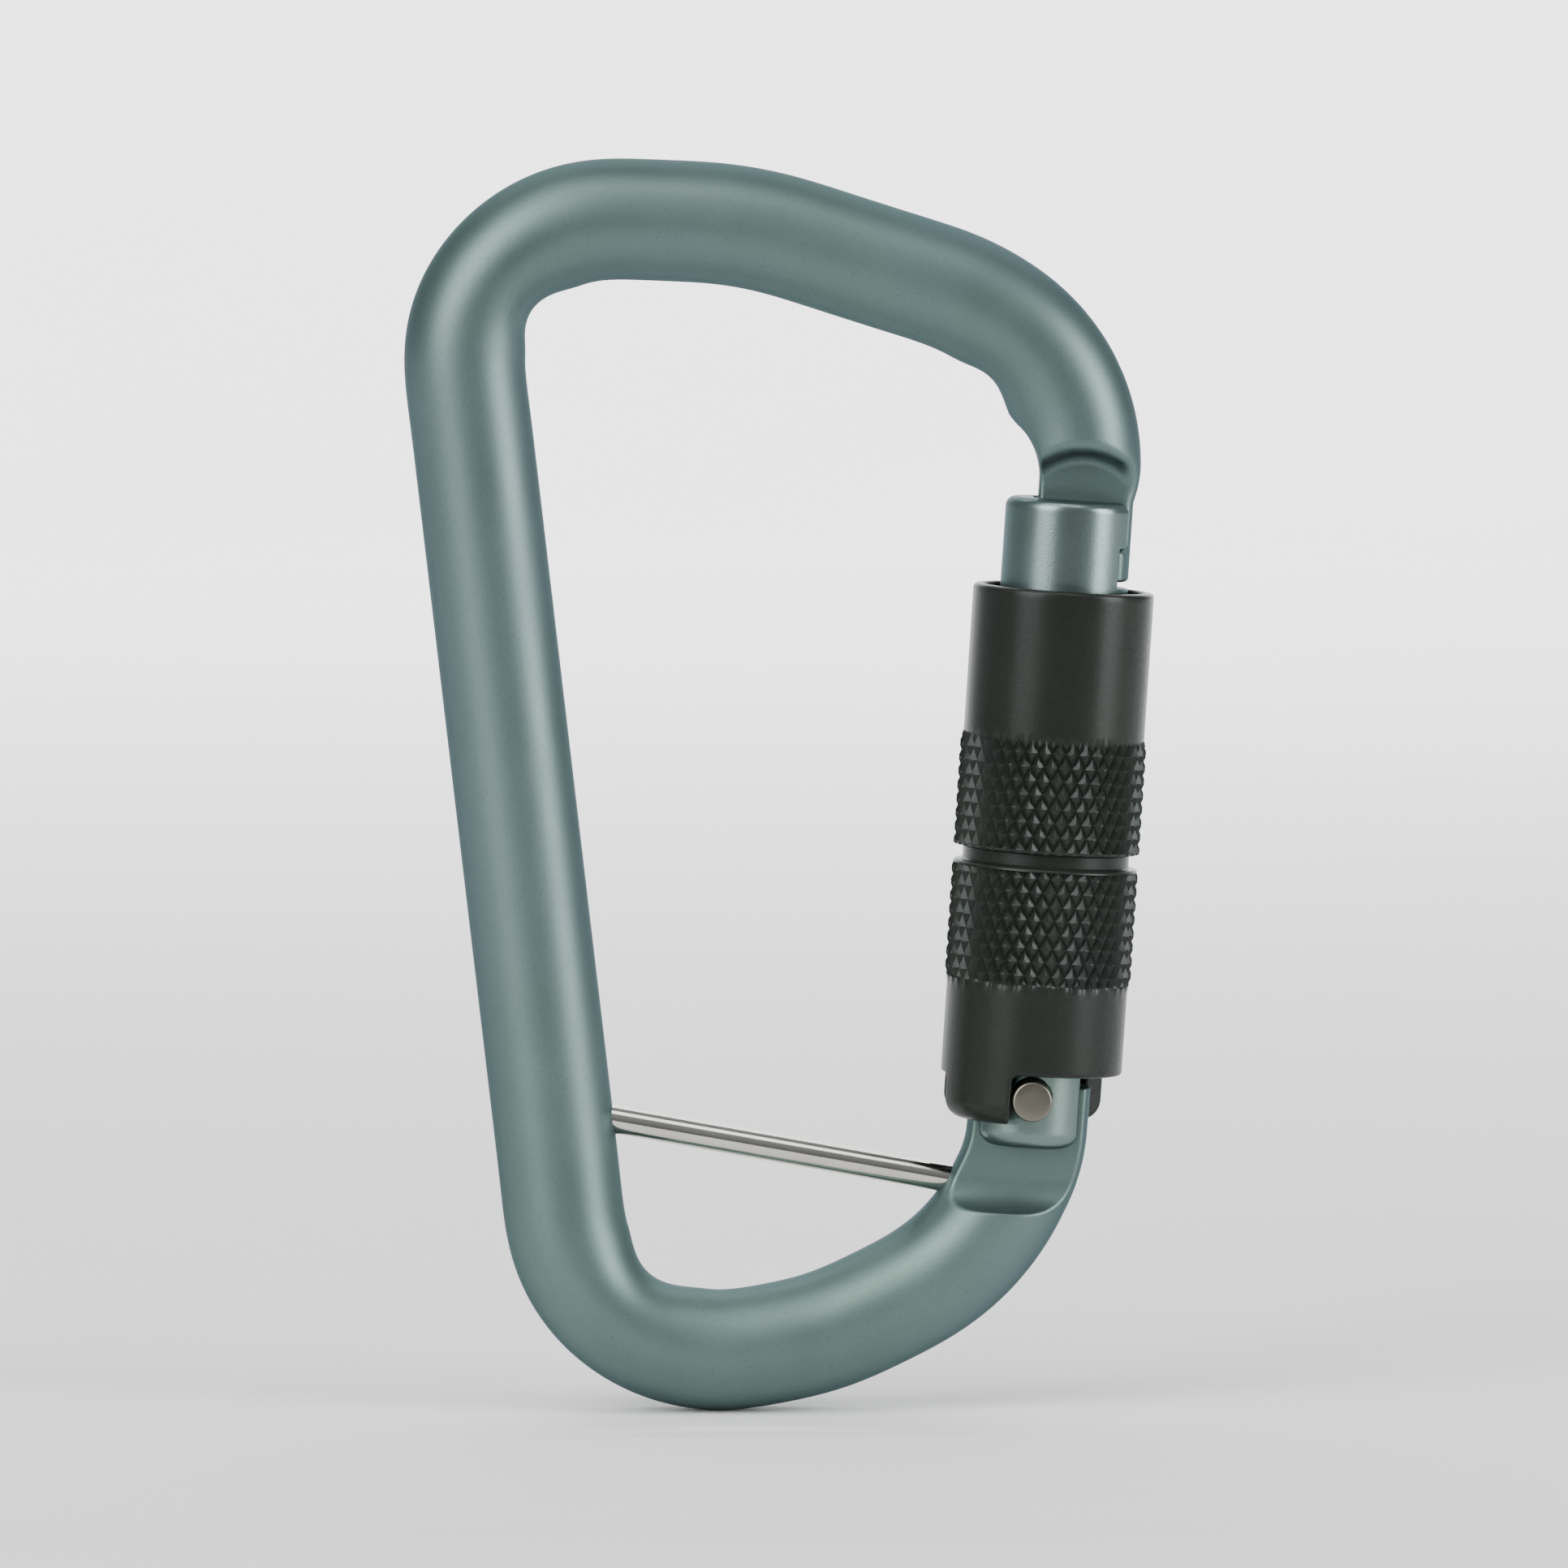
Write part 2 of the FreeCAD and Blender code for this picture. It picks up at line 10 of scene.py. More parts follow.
import bmesh
import bpy
import numpy as np
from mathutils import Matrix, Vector


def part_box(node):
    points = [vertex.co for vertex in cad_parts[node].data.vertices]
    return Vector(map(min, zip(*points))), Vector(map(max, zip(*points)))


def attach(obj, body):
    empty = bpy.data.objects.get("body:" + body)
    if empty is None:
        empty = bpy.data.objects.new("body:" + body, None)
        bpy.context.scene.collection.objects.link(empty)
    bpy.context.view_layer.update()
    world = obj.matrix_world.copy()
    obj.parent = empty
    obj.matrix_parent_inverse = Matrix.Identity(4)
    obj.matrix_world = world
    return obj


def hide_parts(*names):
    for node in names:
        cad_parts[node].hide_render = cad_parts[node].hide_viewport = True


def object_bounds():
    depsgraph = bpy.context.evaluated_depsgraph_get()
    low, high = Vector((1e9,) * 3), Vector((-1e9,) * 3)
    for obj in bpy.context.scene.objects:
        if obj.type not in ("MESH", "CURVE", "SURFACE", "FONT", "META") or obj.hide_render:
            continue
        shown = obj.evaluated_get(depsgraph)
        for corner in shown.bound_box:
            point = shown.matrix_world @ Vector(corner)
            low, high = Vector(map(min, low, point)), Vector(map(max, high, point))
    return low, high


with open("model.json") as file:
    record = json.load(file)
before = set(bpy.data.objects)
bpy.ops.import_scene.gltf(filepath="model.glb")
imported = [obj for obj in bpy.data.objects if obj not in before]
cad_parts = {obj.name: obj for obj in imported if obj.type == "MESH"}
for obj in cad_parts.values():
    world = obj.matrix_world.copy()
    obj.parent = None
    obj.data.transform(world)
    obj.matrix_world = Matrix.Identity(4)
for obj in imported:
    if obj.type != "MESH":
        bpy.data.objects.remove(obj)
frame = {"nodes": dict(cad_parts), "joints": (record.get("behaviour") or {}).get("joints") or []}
CAD_LOW, CAD_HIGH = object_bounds()

MM = 0.001

# ---------------------------------------------------------------- sizes, in mm

BAR_RADIUS = 5.45
BAR_SIDES = 112
BAR_STEP = 0.45
EASE = 2.4
EASE_REACH = 3
SEAM_GAP = 0.4

# Where each milled end joins the plain bar: a bend and a share of its length.
NOSE_SEAM = ("nose", 0.42)
TANG_SEAM = ("elbow", 0.55)

FRAME_WIDTH = 67.4
FRAME_LENGTH = 112.7

# Corners of the bar's centreline, nose first: name, share of width, share of length and
# bend radius as a share of the width.
BENDS = (
    ("nose", 0.5853, -0.0654, 0.2343),
    ("shoulder", 0.4243, -0.0098, 0.1727),
    ("crown", 0.1405, 0.0445, 0.5371),
    ("top_corner", -0.1448, 0.0505, 0.2025),
    ("spine_top", -0.2408, -0.0391, 0.1700),
    ("spine_bottom", -0.0917, -0.8077, 0.1984),
    ("bottom_corner", 0.0632, -0.8645, 0.2165),
    ("basket", 0.2470, -0.8440, 0.3407),
    ("elbow", 0.4438, -0.7860, 0.3100),
    ("tang_bend", 0.5134, -0.7010, 0.2000),
)

# Where bending has pressed the bar flatter on its inner side: bend, share of the bend's
# length, how far the dip reaches each way and how deep it is.
DIPS = (
    ("nose", 0.74, 5.5, 0.55),
    ("top_corner", 0.90, 7.5, 0.9),
    ("spine_bottom", 0.85, 8.0, 0.82),
)

GATE_HEIGHT = 53.8
NOSE_OFFSET = 1.7
CHEEK_OFFSET = 1.1
KEY_BOTTOM = 46.7
KEY_TOP = 49.4
KEY_HALF = 3.0
TONGUE_HALF = 1.9
TONGUE_INNER = -2.85
NOSE_RADIUS = 5.72
NOSE_SPREAD = 0.24
NOSE_MILL_RADIUS = 6.0
NOSE_MILL_HEIGHT = 52.2
THROAT_RADIUS = 6.0
THROAT_HEIGHT = 55.4
MILLED_EDGE = 0.4
CHEEK_CORNER = 1.3
CHEEK_EDGE = 1.3
START_BELOW = 3.0
KEY_ROUND = 0.45
KEY_SIDE_ROUND = 0.3
KEY_BLEND = 1.0

TANG_HALF = 2.3
TANG_DROP = -7.35
TANG_TOP = 1.0
TANG_MILL_RADIUS = 3.1
CAM_RADIUS = 4.1
CAM_OFFSET = -1.2
TANG_HOLE = 1.85
TANG_EDGE = 0.25
TANG_HOLE_EDGE = 0.15

GATE_RADIUS = 5.1
HEAD_RADIUS = 5.75
HEAD_BOTTOM = 41.4
HEAD_ROUND = 0.9
HEAD_UNDER_ROUND = 0.2
STEM_OVERLAP = 1.0
EAR_BOTTOM = -4.6
EAR_ROUND = 1.45
FORK_HALF = 2.45
FORK_TOP = 6.0
FORK_ROUND = 0.3
SLOT_BACK = -3.2
SLOT_FLOOR = 46.1
KEY_SLOT_HALF = 3.25
KEY_SLOT_TOP = 49.65
NECK_SLOT_HALF = 2.15
SLOT_EDGE = 0.2
SPRING_BORE = 1.55
SPRING_BORE_TOP = 27.0
SPRING_BORE_EDGE = 0.1
RIVET_CLEARANCE = 0.03
RIVET_HOLE_EDGE = 0.12
SNAP_FLOOR = 5.35
SNAP_BOTTOM = 43.5
SNAP_TOP = 44.3
SNAP_EDGE = 0.08

SLEEVE_RADIUS = 8.15
SLEEVE_TOP = 45.8
SKIRT_BOTTOM = -2.35
SKIRT_BORE = 6.2
SKIRT_ROUND = 1.8
SKIRT_EDGE = 0.25
SKIRT_SEAM = 6.0
RIM_BORE = 7.25
RIM_FLOOR = 35.4
COIL_BORE = 6.6
GUIDE_BORE = 5.18
GUIDE_TOP = 12.0
GUIDE_BOTTOM = 7.0
NOTCH_TOP = 2.25
NOTCH_EDGE = -1.97
NOTCH_END = math.radians(34)
NOTCH_ROUND = 0.7
NOTCH_RIM = 0.3
RELIEF_HALF = 2.6
RELIEF_TOP = 1.6
KNURL_BANDS = ((10.15, 20.9), (22.2, 32.4))
GROOVE_RADIUS = 7.5
GROOVE_CORNER = 0.15
KNURL_TIP = 8.4
KNURL_ROOT = 7.98
KNURL_COUNT = 41
KNURL_HEIGHT = 2.5
KNURL_PARTS = 10
KNURL_RUNOUT = 0.4
KNURL_SHARPNESS = 1.25
BAND_ROUND = 0.3
BAND_INSET = 0.1
BAND_START = 0.02
RIM_ROUND = 0.42
RIM_INNER_ROUND = 0.25
RIM_STRAIGHT = 1.0
RING_STEP = 0.5
SEAM_STEP = 0.25
LAST_RING_GAP = 0.05

RIVET_RADIUS = 1.8
RIVET_FRONT = -7.9
RIVET_REAR = 4.9
RIVET_ROUND = 0.25
RIVET_SIDES = 64
PIN_RADIUS = 1.25
PIN_ROUND = 0.2
PIN_SIDES = 48
CAP_SHARE = 0.5

CREASE_ANGLE = math.radians(32)
FINE_CELL = 0.12
GATE_CELL = 0.15

# The boxes in which each end's surface is looked for, in the gate frame.
NOSE_BOX = ((-8.5, -6.2, 45.7), (9.0, 6.2, 65.5))
TANG_BOX = ((-16.0, -6.2, -20.0), (7.0, 6.2, 5.0))
GATE_REACH = 6.2
SLEEVE_REACH = 8.6
BOX_MARGIN = 0.5
SEAM_MARGIN = 0.6

SETTLE_STEPS = 4
PROBES_PER_CELL = 12
LEAST_SLOPE = 0.25
LONGEST_MOVE = 0.5
TINY = 1e-9
WELD = 1e-4

# ---------------------------------------------------------------- frames of reference

JOINTS = {joint["name"]: joint for joint in frame["joints"]}
PIVOT = np.array(JOINTS["gate_pivot"]["pos_m"]) / MM
TWIST_AXIS = -np.array(JOINTS["sleeve_twist"]["axis"])
LEAN_SIN = TWIST_AXIS[0] / np.linalg.norm(TWIST_AXIS)
LEAN_COS = TWIST_AXIS[2] / np.linalg.norm(TWIST_AXIS)


def to_row(points):
    """Points of the gate frame, in the row frame."""
    x, y, z = points[..., 0], points[..., 1], points[..., 2]
    across = PIVOT[0] + x * LEAN_COS + z * LEAN_SIN
    up = PIVOT[2] - x * LEAN_SIN + z * LEAN_COS
    return np.stack([across, y, up], -1)


# ---------------------------------------------------------------- centreline of the bar


def centreline():
    """The bar's centreline as runs and bends, each a dictionary, nose first."""
    nose = to_row(np.array([NOSE_OFFSET, 0.0, KEY_BOTTOM - START_BELOW]))[[0, 2]]
    tang = to_row(np.array([0.0, 0.0, TANG_TOP]))[[0, 2]]
    corners = [np.array([b[1] * FRAME_WIDTH, b[2] * FRAME_LENGTH]) for b in BENDS]
    points = [nose] + corners + [tang]
    path = []
    start = nose
    for index, (name, _, _, share) in enumerate(BENDS, start=1):
        radius = share * FRAME_WIDTH
        corner = points[index]
        back = points[index - 1] - corner
        ahead = points[index + 1] - corner
        back = back / np.linalg.norm(back)
        ahead = ahead / np.linalg.norm(ahead)
        half = math.acos(float(np.clip(back @ ahead, -1, 1))) / 2
        reach = radius / math.tan(half)
        middle = (back + ahead) / np.linalg.norm(back + ahead)
        centre = corner + middle * radius / math.sin(half)
        first = corner + back * reach
        last = corner + ahead * reach
        path.append({"name": "run_" + name, "from": start, "to": first})
        angle = math.atan2(*(first - centre)[::-1])
        sweep = math.atan2(*(last - centre)[::-1]) - angle
        sweep = (sweep + math.pi) % (2 * math.pi) - math.pi
        bend = {"name": name, "centre": centre, "radius": radius}
        path.append(bend | {"angle": angle, "sweep": sweep})
        start = last
    path.append({"name": "run_tang", "from": start, "to": tang})
    return path


PATH = centreline()


def part_of_path(first, last):
    """The runs and bends between two named ones, both included."""
    names = [piece["name"] for piece in PATH]
    return PATH[names.index(first) : names.index(last) + 1]


def distance_to_path(path, across, up):
    """Distance in the frame's plane from points to a stretch of the centreline."""
    nearest = np.full(across.shape, np.inf)
    for piece in path:
        if "centre" in piece:
            dx = across - piece["centre"][0]
            dz = up - piece["centre"][1]
            middle = piece["angle"] + piece["sweep"] / 2
            off = np.abs((np.arctan2(dz, dx) - middle + np.pi) % (2 * np.pi) - np.pi)
            gap = np.abs(np.hypot(dx, dz) - piece["radius"])
            gap = np.where(off <= abs(piece["sweep"]) / 2, gap, np.inf)
        else:
            along = piece["to"] - piece["from"]
            dx = across - piece["from"][0]
            dz = up - piece["from"][1]
            share = np.clip((dx * along[0] + dz * along[1]) / (along @ along), 0, 1)
            gap = np.hypot(dx - share * along[0], dz - share * along[1])
        nearest = np.minimum(nearest, gap)
    return nearest


def station(piece, share):
    """Point and heading on one run or bend, at a share of its length."""
    if "centre" in piece:
        angle = piece["angle"] + piece["sweep"] * share
        out = np.array([math.cos(angle), math.sin(angle)])
        turn = 1 if piece["sweep"] > 0 else -1
        return piece["centre"] + out * piece["radius"], np.array([-out[1], out[0]]) * turn
    along = piece["to"] - piece["from"]
    return piece["from"] + along * share, along / np.linalg.norm(along)


def length_of(piece):
    """Length of one run or bend."""
    if "centre" in piece:
        return abs(piece["sweep"]) * piece["radius"]
    return float(np.linalg.norm(piece["to"] - piece["from"]))


# ---------------------------------------------------------------- rounded solids


def both(a, b, radius):
    """Where two solids overlap, with their common edge rounded."""
    outside = np.hypot(np.maximum(a + radius, 0), np.maximum(b + radius, 0))
    return np.minimum(np.maximum(a, b), -radius) + outside


def without(solid, tool, radius):
    """A solid with a tool cut out of it, its edges rounded."""
    return both(solid, -tool, radius)


def surface(solid, low, high, cell):
    """Vertices and quads of a solid's surface, found on a grid and moved onto the surface."""
    axes = [np.arange(a, b + cell, cell) for a, b in zip(low, high)]
    field = solid(np.stack(np.meshgrid(*axes, indexing="ij"), -1))
    cells = np.array(field.shape) - 1
    places, owners, quads = [], [], []
    for axis in range(3):
        near = np.take(field, np.arange(field.shape[axis] - 1), axis)
        far = np.take(field, np.arange(1, field.shape[axis]), axis)
        crossed = (near < 0) != (far < 0)
        edge = np.argwhere(crossed)
        a, b = near[crossed], far[crossed]
        place = edge.astype(float)
        place[:, axis] += a / (a - b)
        u, v = [other for other in range(3) if other != axis]
        ring = []
        valid = np.ones(len(edge), bool)
        for step_u, step_v in ((0, 0), (1, 0), (1, 1), (0, 1)):
            cell_at = edge.copy()
            cell_at[:, u] -= step_u
            cell_at[:, v] -= step_v
            valid &= ((cell_at >= 0) & (cell_at < cells)).all(1)
            ring.append(cell_at)
        ring = [np.ravel_multi_index(c[valid].T, cells) for c in ring]
        quad = np.stack(ring, 1)
        facing = (a[valid] < 0) != (axis == 1)
        quads.append(np.where(facing[:, None], quad, quad[:, ::-1]))
        owners += ring
        places += [place[valid]] * len(ring)
    owners = np.concatenate(owners)
    places = np.concatenate(places)
    ids, inverse = np.unique(owners, return_inverse=True)
    count = np.bincount(inverse)
    points = np.stack(
        [np.bincount(inverse, places[:, k]) / count for k in range(3)], 1
    )
    points = points * cell + np.array(low)
    for _ in range(SETTLE_STEPS):
        points = settle(solid, points, cell)
    lookup = {int(old): new for new, old in enumerate(ids)}
    faces = np.vectorize(lookup.get)(np.concatenate(quads))
    return points, faces


def settle(solid, points, cell):
    """Points moved onto a solid's surface along its slope, by no more than half a cell."""
    probe = cell / PROBES_PER_CELL
    value = solid(points)
    slope = np.zeros_like(points)
    for axis in range(3):
        step = np.zeros(3)
        step[axis] = probe
        slope[:, axis] = (solid(points + step) - solid(points - step)) / (2 * probe)
    steep = np.maximum((slope**2).sum(1), LEAST_SLOPE)
    move = -value[:, None] * slope / steep[:, None]
    size = np.linalg.norm(move, axis=1, keepdims=True)
    share = np.minimum(1, LONGEST_MOVE * cell / np.maximum(size, TINY))
    return points + move * share


# ---------------------------------------------------------------- the solids themselves


def bar_solid(points, path):
    """The round bar round a stretch of the centreline."""
    row = to_row(points)
    flat = distance_to_path(path, row[..., 0], row[..., 2])
    return np.hypot(flat, row[..., 1]) - BAR_RADIUS


def nose_solid(points):
    """The nose: bar, milled cheeks, throat, key and the trimmed outer edge."""
    x, y, z = points[..., 0], np.abs(points[..., 1]), points[..., 2]
    solid = bar_solid(points, part_of_path("run_nose", "run_shoulder"))
    solid = both(solid, KEY_BOTTOM - z, KEY_ROUND)
    mill = np.hypot(x - CHEEK_OFFSET, z - NOSE_MILL_HEIGHT) - NOSE_MILL_RADIUS
    slab = np.maximum(np.abs(x - CHEEK_OFFSET) - NOSE_MILL_RADIUS, z - NOSE_MILL_HEIGHT)
    outline = np.maximum(np.minimum(mill, slab), KEY_TOP - z)
    cheek = both(TONGUE_HALF - y, outline, CHEEK_CORNER)
    solid = without(solid, cheek, CHEEK_EDGE)
    solid = both(solid, key_side(y, z), KEY_SIDE_ROUND)
    bore = np.hypot(x - TONGUE_INNER + THROAT_RADIUS, z - THROAT_HEIGHT) - THROAT_RADIUS
    block = np.maximum(x - TONGUE_INNER, z - THROAT_HEIGHT)
    solid = without(solid, np.minimum(bore, block), MILLED_EDGE)
    limit = NOSE_RADIUS + NOSE_SPREAD * np.maximum(z - GATE_HEIGHT, 0.0)
    return without(solid, limit - np.hypot(x, points[..., 1]), MILLED_EDGE)


def key_side(y, z):
    """How far a point is outside the key's two sides, which bound only the key itself."""
    return np.where(z < KEY_TOP + KEY_BLEND, y - KEY_HALF, -BAR_RADIUS)


def tang_solid(points):
    """The tang: bar, two milled flats with their run-outs, rounded cam top and rivet hole."""
    x, y, z = points[..., 0], np.abs(points[..., 1]), points[..., 2]
    solid = bar_solid(points, part_of_path("basket", "run_tang"))
    solid = both(solid, z - TANG_TOP, TANG_EDGE)
    cam = both(np.hypot(x - CAM_OFFSET, z) - CAM_RADIUS, y - TANG_HALF, TANG_EDGE)
    flat = np.maximum(TANG_HALF - y, TANG_DROP - z)
    mill = np.hypot(y - TANG_HALF - TANG_MILL_RADIUS, z - TANG_DROP) - TANG_MILL_RADIUS
    solid = without(solid, np.minimum(flat, mill), TANG_EDGE)
    solid = np.minimum(solid, cam)
    return without(solid, np.hypot(x, z) - TANG_HOLE, TANG_HOLE_EDGE)


def gate_solid(points):
    """The gate: stem and head, keyed slot, fork, spring bore and snap-ring groove."""
    x, y, z = points[..., 0], np.abs(points[..., 1]), points[..., 2]
    out = np.hypot(x, y)
    stem = both(out - GATE_RADIUS, EAR_BOTTOM - z, EAR_ROUND)
    stem = np.maximum(stem, z - HEAD_BOTTOM - STEM_OVERLAP)
    head = both(out - HEAD_RADIUS, z - GATE_HEIGHT, HEAD_ROUND)
    head = both(head, HEAD_BOTTOM - z, HEAD_UNDER_ROUND)
    solid = np.minimum(stem, head)
    key_slot = np.maximum(y - KEY_SLOT_HALF, z - KEY_SLOT_TOP)
    slot = np.minimum(key_slot, y - NECK_SLOT_HALF)
    slot = np.maximum(np.maximum(slot, SLOT_BACK - x), SLOT_FLOOR - z)
    solid = without(solid, slot, SLOT_EDGE)
    fork = both(y - FORK_HALF, z - FORK_TOP, FORK_ROUND)
    solid = without(solid, fork, SLOT_EDGE)
    bore = np.maximum(out - SPRING_BORE, z - SPRING_BORE_TOP)
    solid = without(solid, bore, SPRING_BORE_EDGE)
    hole = np.hypot(x, z) - RIVET_RADIUS - RIVET_CLEARANCE
    solid = without(solid, hole, RIVET_HOLE_EDGE)
    groove = np.maximum(SNAP_FLOOR - out, np.maximum(SNAP_BOTTOM - z, z - SNAP_TOP))
    return without(solid, groove, SNAP_EDGE)


def skirt_solid(points):
    """The lowest part of the sleeve: skirt, notch for the rivet and relief for the tang."""
    x, y, z = points[..., 0], points[..., 1], points[..., 2]
    out = np.hypot(x, y)
    solid = both(out - SLEEVE_RADIUS, SKIRT_BOTTOM - z, SKIRT_ROUND)
    solid = without(solid, out - SKIRT_BORE, SKIRT_EDGE)
    end = y * math.cos(NOTCH_END) - x * math.sin(NOTCH_END)
    notch = both(np.maximum(NOTCH_EDGE - x, end), z - NOTCH_TOP, NOTCH_ROUND)
    solid = without(solid, notch, NOTCH_RIM)
    relief = both(np.maximum(np.abs(y) - RELIEF_HALF, x), z - RELIEF_TOP, NOTCH_ROUND)
    return without(solid, relief, SKIRT_EDGE)


# ---------------------------------------------------------------- meshes


def link(name, mesh):
    """A new smooth-shaded object in the scene."""
    for polygon in mesh.polygons:
        polygon.use_smooth = True
    piece = bpy.data.objects.new(name, mesh)
    bpy.context.scene.collection.objects.link(piece)
    return piece


def mesh_of(points, faces):
    """A bmesh of points and faces."""
    mesh = bpy.data.meshes.new("part")
    mesh.from_pydata(points.tolist(), [], [[int(i) for i in face] for face in faces])
    bm = bmesh.new()
    bm.from_mesh(mesh)
    bpy.data.meshes.remove(mesh)
    return bm


def finish_mesh(name, bm):
    """The finished object of a bmesh in row millimetres."""
    bmesh.ops.recalc_face_normals(bm, faces=bm.faces)
    bmesh.ops.scale(bm, vec=Vector((MM, MM, MM)), verts=bm.verts)
    mesh = bpy.data.meshes.new(name)
    bm.to_mesh(mesh)
    bm.free()
    return link(name, mesh)


def trimmed(bm, point, heading):
    """Cuts a mesh with a plane and keeps what lies behind its heading."""
    everything = bm.verts[:] + bm.edges[:] + bm.faces[:]
    bmesh.ops.bisect_plane(
        bm,
        geom=everything,
        dist=WELD,
        plane_co=Vector(point),
        plane_no=Vector(heading),
        clear_outer=True,
    )
    return bm


def open_loops(bm):
    """The open boundary loops of a mesh, each a list of vertices in order."""
    edges = {e for e in bm.edges if e.is_boundary}
    loops = []
    while edges:
        edge = edges.pop()
        loop = [edge.verts[0], edge.verts[1]]
        while True:
            onward = next((e for e in loop[-1].link_edges if e in edges), None)
            if onward is None:
                break
            edges.remove(onward)
            following = onward.other_vert(loop[-1])
            if following is loop[0]:
                break
            loop.append(following)
        loops.append(loop)
    return loops


def zip_loops(bm, first, second, centre, u, v):
    """Triangles between two loops round the same centre, matched by angle."""

    def sorted_by_angle(loop):
        keyed = []
        for vert in loop:
            offset = vert.co - centre
            keyed.append((math.atan2(offset.dot(v), offset.dot(u)), vert))
        keyed.sort(key=lambda pair: pair[0])
        return keyed

    a = sorted_by_angle(first)
    b = sorted_by_angle(second)
    i = j = 0
    while i < len(a) or j < len(b):
        now_a, now_b = a[i % len(a)][1], b[j % len(b)][1]
        next_a = a[(i + 1) % len(a)][0] + 2 * math.pi * ((i + 1) // len(a))
        next_b = b[(j + 1) % len(b)][0] + 2 * math.pi * ((j + 1) // len(b))
        if j >= len(b) or (i < len(a) and next_a <= next_b):
            bm.faces.new((now_a, a[(i + 1) % len(a)][1], now_b))
            i += 1
        else:
            bm.faces.new((now_a, b[(j + 1) % len(b)][1], now_b))
            j += 1


def add_rings(bm, rings):
    """Rings of points joined by quads. Returns the rings' vertices."""
    made = [[bm.verts.new(Vector(p)) for p in ring] for ring in rings]
    count = len(made[0])
    for low, high in zip(made, made[1:]):
        for k in range(count):
            after = (k + 1) % count
            bm.faces.new((low[k], low[after], high[after], high[k]))
    return made


# ---------------------------------------------------------------- frame


def bar_ring(point, inward, dip):
    """One ring of the bar, flatter on its inner side where a bend has pressed it."""
    across = Vector((inward[0], 0, inward[1]))
    ring = []
    for k in range(BAR_SIDES):
        angle = 2 * math.pi * k / BAR_SIDES
        toward = max(0.0, math.cos(angle))
        radius = BAR_RADIUS - dip * toward**2
        offset = across * (radius * math.cos(angle)) + Vector((0, radius * math.sin(angle), 0))
        ring.append(Vector((point[0], 0, point[1])) + offset)
    return ring


def distance_to(name, share):
    """Distance along the bar, from the nose, to a share of one of its bends."""
    names = [piece["name"] for piece in PATH]
    index = names.index(name)
    before = sum(length_of(piece) for piece in PATH[:index])
    return before + share * length_of(PATH[index])


def dip_at(distance):
    """How much the bar is flattened inside at a distance along it."""
    total = 0.0
    for name, share, reach, depth in DIPS:
        off = min(1.0, abs(distance - distance_to(name, share)) / reach)
        total = max(total, depth * (0.5 + 0.5 * math.cos(math.pi * off)))
    return total


def smoothed(line):
    """A line of points with its changes of curvature eased, and its ends left alone."""
    reach = round(EASE_REACH * EASE / BAR_STEP)
    offsets = np.arange(-reach, reach + 1) * BAR_STEP
    weights = np.exp(-((offsets / EASE) ** 2) / 2)
    weights /= weights.sum()

    def averaged(points):
        padded = np.pad(points, ((reach, reach), (0, 0)), mode="reflect", reflect_type="odd")
        return np.stack([np.convolve(padded[:, k], weights, "valid") for k in (0, 1)], 1)

    eased = averaged(2 * line - averaged(line))
    along = np.arange(len(line)) * BAR_STEP
    inset = np.minimum(along, along[::-1]) / (EASE_REACH * EASE)
    share = np.clip(inset, 0, 1)[:, None]
    return line + (eased - line) * share * share * (3 - 2 * share)


def shaft_rings():
    """Rings of the plain bar between the nose's seam and the tang's seam."""
    names = [piece["name"] for piece in PATH]
    first, last = names.index(NOSE_SEAM[0]), names.index(TANG_SEAM[0])
    lengths = [length_of(piece) for piece in PATH]
    start = distance_to(*NOSE_SEAM) + SEAM_GAP
    end = distance_to(*TANG_SEAM) - SEAM_GAP
    distances = np.linspace(start, end, round((end - start) / BAR_STEP))
    line = []
    index, before = first, sum(lengths[:first])
    for distance in distances:
        while distance > before + lengths[index] and index < last:
            before += lengths[index]
            index += 1
        point, _ = station(PATH[index], (distance - before) / lengths[index])
        line.append(point)
    line = smoothed(np.array(line))
    headings = np.gradient(line, axis=0)
    headings /= np.linalg.norm(headings, axis=1, keepdims=True)
    rings = []
    for distance, point, heading in zip(distances, line, headings):
        inward = (-heading[1], heading[0])
        rings.append(bar_ring(point, inward, dip_at(distance)))
    return rings


def end_part(solid, low, high, seam, ahead):
    """A milled end of the frame, cut off square at its seam. ahead is +1 or -1."""
    points, faces = surface(solid, low, high, FINE_CELL)
    bm = mesh_of(to_row(points), faces)
    piece = next(p for p in PATH if p["name"] == seam[0])
    point, heading = station(piece, seam[1])
    trimmed(bm, (point[0], 0, point[1]), (heading[0] * ahead, 0, heading[1] * ahead))
    return bm, Vector((point[0], 0, point[1]))


def merge(bm, other):
    """Adds one bmesh to another."""
    mesh = bpy.data.meshes.new("joined")
    other.to_mesh(mesh)
    bm.from_mesh(mesh)
    bpy.data.meshes.remove(mesh)
    other.free()


def make_frame():
    """The whole frame as one closed mesh: nose, bar and tang."""
    bm, nose_seam = end_part(nose_solid, *NOSE_BOX, NOSE_SEAM, 1)
    tang, tang_seam = end_part(tang_solid, *TANG_BOX, TANG_SEAM, -1)
    merge(bm, tang)
    loops = open_loops(bm)
    rings = add_rings(bm, shaft_rings())
    for seam, ring in ((nose_seam, rings[0]), (tang_seam, rings[-1])):
        loop = min(loops, key=lambda found: (found[0].co - seam).length)
        u = (ring[0].co - ring[BAR_SIDES // 2].co).normalized()
        zip_loops(bm, loop, ring, seam, u, Vector((0, 1, 0)))
    return finish_mesh("frame_shell", bm)


# ---------------------------------------------------------------- gate and sleeve


